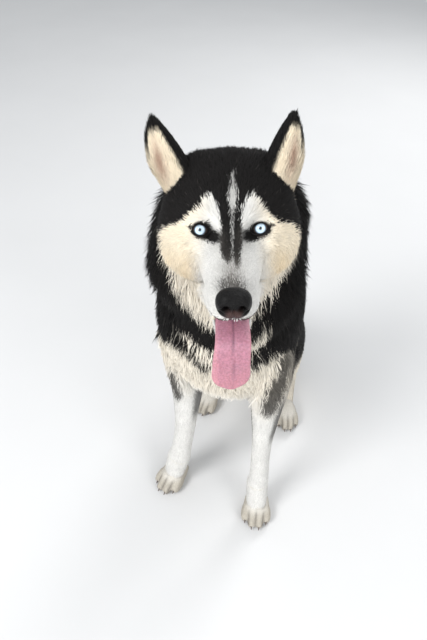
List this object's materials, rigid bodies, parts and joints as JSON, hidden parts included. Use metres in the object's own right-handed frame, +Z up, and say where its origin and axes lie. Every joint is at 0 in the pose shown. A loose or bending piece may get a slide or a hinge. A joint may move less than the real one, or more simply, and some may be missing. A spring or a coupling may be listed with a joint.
{
  "type": "siberian husky",
  "caption": "Life-size still model of a black and white Siberian husky, sitting, looking up with its tongue out.",
  "frame": {"origin": "on the floor, under the middle of the model's box", "axes": "+Z up from the floor, -Y the way the body faces, +X to the dog's own left"},
  "size_m": [0.3438, 0.7612, 0.7658],
  "materials": {
    "dark_coat": "soft black double coat with paler tips",
    "pale_coat": "white to cream double coat",
    "nose_leather": "moist, finely pebbled",
    "eye": "wet, pale blue iris",
    "tongue": "moist pink",
    "claw": "dark horn"
  },
  "bodies": {
    "root": {"nose": "nose_leather", "head": "dark_coat", "lower_jaw": "pale_coat", "tongue": "tongue", "neck": "dark_coat", "torso": "dark_coat", "eye_right": "eye", "ear_right": "dark_coat", "front_leg_right": "pale_coat", "front_paw_right": "pale_coat", "thigh_right": "dark_coat", "hind_leg_right": "pale_coat", "hind_paw_right": "pale_coat", "front_claw_right_1": "claw", "front_claw_right_2": "claw", "front_claw_right_3": "claw", "front_claw_right_4": "claw", "hind_claw_right_1": "claw", "hind_claw_right_2": "claw", "hind_claw_right_3": "claw", "hind_claw_right_4": "claw", "eye_left": "eye", "ear_left": "dark_coat", "front_leg_left": "pale_coat", "front_paw_left": "pale_coat", "thigh_left": "dark_coat", "hind_leg_left": "pale_coat", "hind_paw_left": "pale_coat", "front_claw_left_1": "claw", "front_claw_left_2": "claw", "front_claw_left_3": "claw", "front_claw_left_4": "claw", "hind_claw_left_1": "claw", "hind_claw_left_2": "claw", "hind_claw_left_3": "claw", "hind_claw_left_4": "claw", "tail_base": "dark_coat", "tail_middle": "dark_coat", "tail_tip": "dark_coat"}
  },
  "joints": []
}
